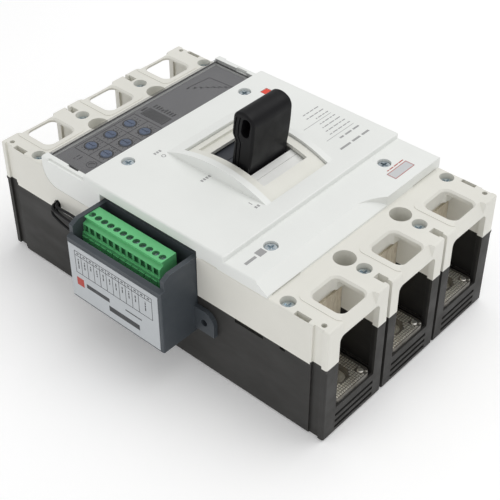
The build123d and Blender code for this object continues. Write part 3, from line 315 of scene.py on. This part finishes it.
def braid():
    """Woven copper braid from two crossing waves."""
    graph = Graph("braid_copper")
    waves = []
    for angle in (WEAVE_ANGLE, -WEAVE_ANGLE):
        mapping = graph.add("ShaderNodeMapping")
        mapping.inputs["Rotation"].default_value = (0, 0, angle)
        graph.join(graph.place, mapping.inputs["Vector"])
        wave = graph.add("ShaderNodeTexWave")
        wave.inputs["Scale"].default_value = 400
        graph.join(mapping.outputs["Vector"], wave.inputs["Vector"])
        waves.append(wave.outputs["Fac"])
    weave = graph.add("ShaderNodeMath", operation="MAXIMUM")
    graph.join(waves[0], weave.inputs[0])
    graph.join(waves[1], weave.inputs[1])
    height = weave.outputs[0]
    tint = graph.blend(height, (0.28, 0.12, 0.06), (0.80, 0.42, 0.26))
    graph.join(tint, graph.shader.inputs["Base Color"])
    graph.shader.inputs["Metallic"].default_value = 0.9
    graph.join(graph.spread(height, 0.5, 0.3, 0, 1), graph.shader.inputs["Roughness"])
    graph.bump((height, 0.5, 0.0002))
    return graph.material


def make_floor_material():
    """Plain pale backlit paper."""
    graph = Graph("floor_paper")
    cloud = graph.spread(graph.noise(3, 3), 0, 1)
    tint = graph.blend(cloud, (0.955, 0.955, 0.955), (0.975, 0.975, 0.975))
    graph.join(tint, graph.shader.inputs["Base Color"])
    graph.join(graph.spread(cloud, 0.85, 0.95, 0, 1), graph.shader.inputs["Roughness"])
    graph.shader.inputs["Emission Color"].default_value = WHITE
    graph.shader.inputs["Emission Strength"].default_value = FLOOR_GLOW
    return graph.material


# low corner, high corner, tint; the case and plug boxes are painted shade in hollows
HANDLE_FRAME = ((-17.2, -15.3, 0), (17.2, 30.8, 100), (0.79, 0.785, 0.72))
# Painted shade: a near-black tint on the case inside the bays, standing in for the shade deep in
# them.
CASE_BAY_SHADE = ((-48, -87.2, 1), (48, 87.2, 100), (0.013, 0.0125, 0.012))
# Painted shade: darker green in the plug's screw holes and wire mouths, standing in for the shade
# inside them.
PLUG_SCREW_HOLE_SHADE = ((59.5, -24.2, 51.5), (62.9, 17.3, 54.2), (0.045, 0.200, 0.080))
PLUG_WIRE_MOUTH_SHADE = ((59.5, -24.2, 47.5), (64.7, 17.3, 51.5), (0.035, 0.150, 0.062))
# colour, roughness, brightness of the painted edge highlight, mottle, then the gloss level and the
# tinted boxes
PLASTICS = {
    "base_plastic": ((0.033, 0.032, 0.030), 0.55, 2.8, 0.12, 0.3, [CASE_BAY_SHADE]),
    "housing_plastic": ((0.775, 0.765, 0.705), 0.46, 1.07, 0.022),
    "cover_plastic": ((0.84, 0.855, 0.83), 0.42, 1.06, 0.012, 0.45, [HANDLE_FRAME]),
    "dial_panel": ((0.285, 0.285, 0.295), 0.5, 1.3, 0.03),
    "inner_plastic": ((0.030, 0.030, 0.032), 0.55, 2.0, 0.12),
    "circuit_board": ((0.020, 0.115, 0.050), 0.35, 1.5, 0.15),
    "display_glass": ((0.110, 0.112, 0.114), 0.16, 1.2, 0.03),
    "dial_plastic": ((0.150, 0.225, 0.385), 0.40, 1.5, 0.08),
    "red_button": ((0.78, 0.065, 0.035), 0.28, 1.15, 0.04),
    "handle_plastic": ((0.008, 0.008, 0.009), 0.42, 3.4, 0.15, 0.15),
    "slate_shutter": ((0.046, 0.050, 0.060), 0.45, 1.5, 0.06, 0.3),
    "grey_shutter": ((0.86, 0.865, 0.84), 0.45, 1.05, 0.02),
    "module_plastic": ((0.059, 0.069, 0.079), 0.48, 2.6, 0.08, 0.35),
    "green_plastic": ((0.140, 0.540, 0.220), 0.38, 1.5, 0.05, 0.45,
                      [PLUG_SCREW_HOLE_SHADE, PLUG_WIRE_MOUTH_SHADE]),
    "lead_jacket": ((0.009, 0.009, 0.010), 0.42, 1.8, 0.15, 0.25),
}
# colour, roughness, then the brushing's direction and the tarnish where they differ
METALS = {
    "steel": ((0.55, 0.56, 0.57), 0.34),
    "spring_steel": ((0.50, 0.50, 0.51), 0.28),
    "contact_silver": ((0.78, 0.77, 0.73), 0.3),
    # Painted shade: tin_copper is tinted dark, against the bright tin_teeth, so the pad between the
    # knurl teeth reads as shaded valleys.
    "tin_copper": ((0.26, 0.25, 0.23), 0.42, BRUSHED, (0.18, 0.165, 0.14)),
    "zinc_screw": ((0.72, 0.79, 0.83), 0.14, EVEN, (0.40, 0.45, 0.48)),
}
MATERIALS = {name: plastic(name, *look) for name, look in PLASTICS.items()}
MATERIALS.update({name: metal(name, *look) for name, look in METALS.items()})
MATERIALS["smoke_window"] = smoked()
MATERIALS["braid_copper"] = braid()
MATERIALS["fibre_board"] = fibre()
MATERIALS["label_film"] = printed("label_film", (0.50, 0.525, 0.545), 0.42)
TOOTH_METAL = metal("tin_teeth", (0.93, 0.91, 0.85), 0.36, BRUSHED, (0.78, 0.75, 0.68))
INK_DARK = printed("ink_dark", (0.045, 0.046, 0.050))
INK_GREY = printed("ink_grey", (0.36, 0.36, 0.36))
INK_RED = printed("ink_red", (0.46, 0.050, 0.035))
INK_PALE = printed("ink_pale", (0.60, 0.61, 0.62))
INK_BLACK = printed("ink_black", (0.010, 0.010, 0.011), 0.3)

SMOOTH_ANGLE = math.radians(32)
SHARP_ANGLE = math.radians(50)
BRIGHT_NODES = ("terminal_pins", "terminal_nuts")
BEVELLED = {
    "base_case": 0.25,
    "upper_housing": 0.3,
    "front_cover": 0.3,
    "module_box": 0.3,
    "terminal_plug": 0.15,
    "trip_window": 0.2,
    "trip_faceplate": 0.15,
    "shutter_front": 0.2,
    "shutter_rear": 0.2,
    "lead_grommets": 0.3,
}


def dress_frame():
    """Gives each CAD node its material and smooth shading, and some nodes softly rounded edges."""
    slots = {part["node"]: part["material_slot"] for part in frame["record"]["subparts"]}
    for name, node in nodes.items():
        material = TOOTH_METAL if name in BRIGHT_NODES else MATERIALS[slots[name]]
        node.data.materials.clear()
        node.data.materials.append(material)
        for polygon in node.data.polygons:
            polygon.use_smooth = True
            polygon.material_index = 0
        if name in BEVELLED:
            bevel = node.modifiers.new("soft_edges", "BEVEL")
            bevel.width = BEVELLED[name] * MM
            bevel.segments = 2
            bevel.limit_method = "ANGLE"
            bevel.angle_limit = SHARP_ANGLE
            bevel.use_clamp_overlap = True
            bevel.harden_normals = False
        with bpy.context.temp_override(object=node, active_object=node, selected_objects=[node]):
            bpy.ops.object.shade_auto_smooth(angle=SMOOTH_ANGLE)


# ---------------------------------------------------------------- mesh pieces
def add_piece(name, shape, body, material):
    """Turns a finished bmesh into a piece that rides on a CAD body."""
    bmesh.ops.recalc_face_normals(shape, faces=shape.faces)
    mesh = bpy.data.meshes.new(name)
    shape.to_mesh(mesh)
    shape.free()
    mesh.materials.append(material)
    piece = bpy.data.objects.new(name, mesh)
    bpy.context.scene.collection.objects.link(piece)
    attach(piece, body)


class Print:
    """Thin raised print on a plane given by its origin and two directions, in millimetres."""

    def __init__(self, origin, right, up, rise=0.05):
        self.origin = Vector(origin)
        self.right = Vector(right)
        self.up = Vector(up)
        self.out = self.right.cross(self.up)
        self.rise = rise
        self.mesh = bmesh.new()

    def at(self, u, v, w):
        return (self.origin + self.right * u + self.up * v + self.out * w) * MM

    def outline(self, points):
        """A closed thin slab with the given outline."""
        top = [self.mesh.verts.new(self.at(u, v, self.rise)) for u, v in points]
        low = [self.mesh.verts.new(self.at(u, v, 0.0)) for u, v in points]
        count = len(points)
        self.mesh.faces.new(top)
        self.mesh.faces.new(low[::-1])
        for i in range(count):
            j = (i + 1) % count
            self.mesh.faces.new((low[i], low[j], top[j], top[i]))

    def bar(self, u, v, width, height):
        """A rectangle centred on (u, v)."""
        half_u, half_v = width / 2, height / 2
        self.outline([(u - half_u, v - half_v), (u + half_u, v - half_v),
                      (u + half_u, v + half_v), (u - half_u, v + half_v)])

    def stroke(self, start, end, width):
        """A straight line of the given width."""
        a, b = Vector(start), Vector(end)
        side = (b - a).normalized().orthogonal() * width / 2
        self.outline([tuple(a - side), tuple(b - side), tuple(b + side), tuple(a + side)])

    def ring(self, u, v, radius, width, steps, start=0.0, sweep=360.0):
        """A ring, or part of one, drawn as short joined slabs."""
        turn = math.radians(sweep) / steps
        first = math.radians(start)
        for i in range(steps):
            a, b = first + turn * i, first + turn * (i + 1)
            quad = []
            for angle, size in ((a, radius - width), (b, radius - width), (b, radius), (a, radius)):
                quad.append((u + size * math.cos(angle), v + size * math.sin(angle)))
            self.outline(quad)

    def text_row(self, u, v, length, height, rng):
        """A row of blank word-like bars."""
        place = u
        while place < u + length:
            word = min(rng.uniform(1.4, 3.6) * height, u + length - place)
            if word > 0.3 * height:
                self.bar(place + word / 2, v, word, height * 0.55)
            place += word + 0.7 * height

    def piece(self, name, body, slot, material):
        bmesh.ops.remove_doubles(self.mesh, verts=self.mesh.verts, dist=1e-8)
        add_piece(name, self.mesh, body, material)


def top_print(z, rise=0.05):
    """A print plane that faces +Z, with X and Y as its directions."""
    return Print((0, 0, z), (1, 0, 0), (0, 1, 0), rise)


# ---------------------------------------------------------------- marks on the cover
COVER_TOP = 62.7
STEP_TOP = 60.4
MARK_X = 22.8
ON_BAR = (23.2, 25.4, 0.35, 1.9)
OFF_RING = (MARK_X, -21.6, 1.0, 0.32)
# y, letters
HANDLE_WORDS = [(-25.2, 3), (1.6, 4), (28.5, 2)]
LETTER = (0.85, 1.3)
LETTER_PITCH = 1.4
RATING_LEFT = -46.8
# y, length, letter height
RATING_ROWS = [
    (28.8, 20.0, 1.9), (23.6, 12.5, 1.6), (18.9, 13.5, 0.9), (16.3, 13.0, 0.9), (13.6, 11.5, 0.9),
    (11.0, 10.0, 0.9), (7.2, 8.0, 0.9), (4.6, 11.0, 0.9), (1.8, 10.0, 0.9),
]
RATING_RULES_Y = (21.0, 8.9)
MAKER_SQUARE = (40.3, 45.6, 3.8, 3.2)
MAKER_BAR = (46.2, 45.9, 5.8, 1.3)
EMBLEM = (-35.5, 53.6, 13.0, 4.6)
EMBLEM_RIM = 0.25


def cover_prints():
    """Generic marks on the white panel: handle positions, a rating block and blank plates."""
    rng = random.Random(11)
    marks = top_print(COVER_TOP)
    marks.bar(*ON_BAR)
    marks.ring(*OFF_RING, steps=28)
    for y, letters in HANDLE_WORDS:
        for letter in range(letters):
            marks.bar(MARK_X + LETTER_PITCH * (letter - (letters - 1) / 2), y, *LETTER)
    marks.piece("handle_marks", "case", "label_film", INK_GREY)
    block = top_print(COVER_TOP)
    for y, length, height in RATING_ROWS:
        block.text_row(RATING_LEFT, y, length, height, rng)
    for y in RATING_RULES_Y:
        block.bar(RATING_LEFT + 9.0, y, 18.0, 0.2)
    block.piece("rating_marks", "case", "label_film", INK_GREY)
    name_bar = top_print(STEP_TOP)
    name_bar.bar(*MAKER_SQUARE)
    name_bar.bar(*MAKER_BAR)
    name_bar.piece("maker_plate_blank", "case", "label_film", INK_GREY)
    plate = top_print(STEP_TOP)
    plate.bar(*EMBLEM)
    plate.piece("emblem_plate_blank", "case", "label_film", INK_PALE)
    u, v, width, height = EMBLEM
    rim = top_print(STEP_TOP + 0.05, 0.03)
    for side in (-1, 1):
        rim.bar(u, v + side * (height - 0.4) / 2, width - 0.4, EMBLEM_RIM)
    for side in (-1, 1):
        rim.bar(u + side * (width - 0.6) / 2, v, EMBLEM_RIM, height - 0.2)
    rim.text_row(-41.6, 50.2, 10.5, 0.8, rng)
    rim.piece("emblem_plate_rim", "case", "label_film", INK_RED)


# ---------------------------------------------------------------- marks on the dial panel
FACE_TOP = 58.0
DISPLAY_TOP = 58.2
DIAL_X = (33.0, 22.1, 11.0)
DIAL_Y = (-54.1, -45.0)
TICK_REACH = (3.5, 4.1)
TICK_WIDTH = 0.32
CELL_X = (4.5, 16.4, 27.6, 38.5)
CELL_Y = (-58.2, -49.6, -41.0)
CELL_LINE = 0.3
SKETCH_LINE = 0.36
SKETCH_CORNERS = [(-26.0, -55.5), (-38.6, -54.3), (-39.6, -41.4)]


def tick(face, x, y, angle):
    """A short radial line at the edge of a dial."""
    near, far = ((x + reach * math.cos(angle), y + reach * math.sin(angle)) for reach in TICK_REACH)
    face.stroke(near, far, TICK_WIDTH)


def dial_prints():
    """Ticks and rings round the dials, cell lines, value bars and a one-line circuit sketch."""
    rng = random.Random(5)
    face = top_print(FACE_TOP)
    for x in DIAL_X:
        for y in DIAL_Y:
            for step in range(9):
                tick(face, x, y, math.radians(30 * step - 30))
            face.ring(x, y, 3.2, 0.4, steps=36)
            for step in (-1, 0, 1):
                face.bar(x - 4.6, y + step * 1.6, 0.35, 0.7)
    for y in CELL_Y:
        face.bar((CELL_X[0] + CELL_X[-1]) / 2, y, CELL_X[-1] - CELL_X[0], CELL_LINE)
    for x in CELL_X:
        face.bar(x, CELL_Y[1], CELL_LINE, CELL_Y[-1] - CELL_Y[0])
    for row in range(8):
        face.bar(-5.9, -55.6 + 1.6 * row, 2.6, 0.85)
    face.bar(-1.0, -57.6, 3.6, 0.9)
    face.ring(42.0, -44.0, 2.3, 0.25, steps=28)
    face.text_row(40.6, -52.6, 3.6, 0.7, rng)
    face.text_row(40.6, -50.9, 3.0, 0.7, rng)
    face.piece("dial_marks", "case", "dial_panel", INK_BLACK)
    sketch = top_print(FACE_TOP)
    for start, end in zip(SKETCH_CORNERS, SKETCH_CORNERS[1:]):
        sketch.stroke(start, end, SKETCH_LINE)
    sketch.bar(-25.8, -55.2, 1.6, 0.9)
    for step in range(6):
        share = 0.12 + 0.15 * step
        u = -26.0 - 13.4 * share
        v = -55.0 + 13.6 * share
        sketch.ring(u, v, 0.85, 0.34, start=40 * step, sweep=230, steps=14)
        sketch.stroke((u, v), (u - 1.1, v + 1.1), SKETCH_LINE)
    sketch.bar(-39.6, -41.2, 1.3, 0.8)
    sketch.piece("circuit_sketch", "case", "dial_panel", INK_BLACK)
    cells = top_print(DISPLAY_TOP)
    for row in range(4):
        cells.bar(1.3 * row - 2.3, -49.7, 0.5, 10.5)
    cells.piece("display_rows", "case", "display_glass", INK_DARK)


EDGE_SHADE_WIDTH = 1.0
EDGE_SHADE_Z = 58.86


def window_edge_shade():
    """Black band under the smoked window's rim: painted shade for the dark look of the smoked edge
    seen edge-on.
    """
    low, high = (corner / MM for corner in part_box("trip_window"))
    shade_band = top_print(EDGE_SHADE_Z, 0.04)
    half = EDGE_SHADE_WIDTH / 2
    for x in (low.x + half, high.x - half):
        shade_band.bar(x, (low.y + high.y) / 2, EDGE_SHADE_WIDTH, high.y - low.y)
    for y in (low.y + half, high.y - half):
        shade_band.bar(0, y, high.x - low.x - 2 * EDGE_SHADE_WIDTH, EDGE_SHADE_WIDTH)
    shade_band.piece("window_edge_shade", "window", "smoke_window", INK_BLACK)


# ---------------------------------------------------------------- marks on the module
LABEL_X = 72.5
TABLE_Y = (-22.3, 20.2)
TABLE_Z = (33.0, 43.9)
HEADER_Z = 41.9
COLUMNS = 12
TABLE_LINE = 0.22
ENTRY_TOP = 40.4
ENTRY_WIDTH = 0.5
WIDE_ENTRY = 4.6
LABEL_BARS = [(-10.5, 28.4, 13.0, 2.0), (9.5, 29.2, 9.0, 0.55), (4.0, 24.3, 17.0, 2.6)]
LABEL_SQUARE = (-20.6, 28.4, 4.0, 4.0)


def label_print():
    """A print plane on the module's label, which faces +X."""
    return Print((LABEL_X, 0, 0), (0, 1, 0), (0, 0, 1))


def module_prints():
    """Table of the module's label: frame, columns, header line and blank entries."""
    rng = random.Random(23)
    table = label_print()
    left, right = TABLE_Y
    low, high = TABLE_Z
    step = (right - left) / COLUMNS
    for z in (low, HEADER_Z, high):
        table.bar((left + right) / 2, z, right - left, TABLE_LINE)
    for column in range(COLUMNS + 1):
        foot = HEADER_Z if column == COLUMNS - 1 else low
        table.bar(left + column * step, (foot + high) / 2, TABLE_LINE, high - foot)
    for column in range(COLUMNS):
        y = left + (column + 0.5) * step
        table.bar(y, 42.9, 1.2, 0.5)
        if column == COLUMNS - 1:
            continue
        length = rng.uniform(1.6, 5.2)
        if column == COLUMNS - 2:
            y += step / 2
            length = WIDE_ENTRY
        place = ENTRY_TOP - length
        while place < ENTRY_TOP:
            word = min(rng.uniform(0.7, 1.8), ENTRY_TOP - place)
            table.bar(y, place + word / 2, ENTRY_WIDTH, word)
            place += word + 0.4
    for bar in LABEL_BARS:
        table.bar(*bar)
    table.piece("module_table", "case", "label_film", INK_DARK)
    blank = label_print()
    blank.bar(*LABEL_SQUARE)
    blank.piece("module_blank_square", "case", "label_film", INK_RED)


# ---------------------------------------------------------------- terminals
HOLE_Y = 78.1
PIN_X = -7.7
PIN_Y = 84.7
PAD_START_Y = 70.9
PAD_CORNER = (8.1, 85.0)
PAD_CORNER_R = 1.9
HOLE_CLEAR = 5.6
PIN_CLEAR = 1.9
TOOTH_PITCH = 1.12
TOOTH_HEIGHT = 0.26
TOOTH_FOOT = 0.37 * TOOTH_PITCH
TOOTH_TOP = 0.29 * TOOTH_PITCH
TOOTH_COLUMNS = 8
TOOTH_ROWS = 15
THREAD_ROOT = 3.35
THREAD_CREST = 3.0
THREAD_PITCH = 1.25
THREAD_HALF = 0.4 * THREAD_PITCH
THREAD_PROFILE = [(THREAD_ROOT, -THREAD_HALF), (THREAD_CREST, 0), (THREAD_ROOT, THREAD_HALF)]
THREAD_FOOT = 6.6
TURNS = 5
STEPS = 32


def on_pad(x, y):
    """Whether a tooth fits on the pad, clear of its hole, its pin and its rounded corners."""
    corner = math.hypot(max(0, abs(x) - PAD_CORNER[0]), max(0, y - PAD_CORNER[1]))
    from_hole = math.hypot(x, y - HOLE_Y)
    from_pin = math.hypot(x - PIN_X, y - PIN_Y)
    return from_hole >= HOLE_CLEAR and from_pin >= PIN_CLEAR and corner <= PAD_CORNER_R


def add_tooth(shape, centre):
    """A small flat-topped pyramid."""
    rings = []
    for half, lift in ((TOOTH_FOOT, 0), (TOOTH_TOP, TOOTH_HEIGHT)):
        corners = ((-half, -half), (half, -half), (half, half), (-half, half))
        places = [centre + Vector((*corner, lift)) for corner in corners]
        rings.append([shape.verts.new(place * MM) for place in places])
    foot, top = rings
    for k in range(4):
        shape.faces.new((foot[k], foot[(k + 1) % 4], top[(k + 1) % 4], top[k]))
    shape.faces.new(foot[::-1])
    shape.faces.new(top)


def ridge_field(name, pole, end):
    """Crossed knurling on the open part of a terminal pad."""
    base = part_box("line_terminal_1")[1].z / MM
    shape = bmesh.new()
    for column in range(-TOOTH_COLUMNS, TOOTH_COLUMNS + 1):
        for row in range(TOOTH_ROWS):
            x = column * TOOTH_PITCH
            y = PAD_START_Y + row * TOOTH_PITCH
            if on_pad(x, y):
                add_tooth(shape, Vector((pole + x, end * y, base)))
    add_piece(name, shape, "case", TOOTH_METAL)


def thread_rings(name, x, y):
    """Thread turns inside a terminal nut, as one spiral ridge."""
    shape = bmesh.new()
    rows = []
    for k in range(TURNS * STEPS + 1):
        angle = 2 * math.pi * k / STEPS
        z = THREAD_FOOT + THREAD_PITCH * k / STEPS
        around = Vector((math.cos(angle), math.sin(angle), 0))
        row = []
        for radius, lift in THREAD_PROFILE:
            row.append(shape.verts.new((Vector((x, y, z + lift)) + around * radius) * MM))
        rows.append(row)
    for first, second in zip(rows, rows[1:]):
        for k in range(3):
            shape.faces.new((first[k], second[k], second[(k + 1) % 3], first[(k + 1) % 3]))
    shape.faces.new(rows[0])
    shape.faces.new(rows[-1][::-1])
    add_piece(name, shape, "case", TOOTH_METAL)


# ---------------------------------------------------------------- the scene
add_camera()
add_studio()
dress_frame()
cover_prints()
dial_prints()
window_edge_shade()
module_prints()
for number, pole in enumerate(POLES, 1):
    for end, label in ((1, "line"), (-1, "load")):
        ridge_field(f"knurl_{label}_{number}", pole, end)
        thread_rings(f"thread_{label}_{number}", pole, end * HOLE_Y)
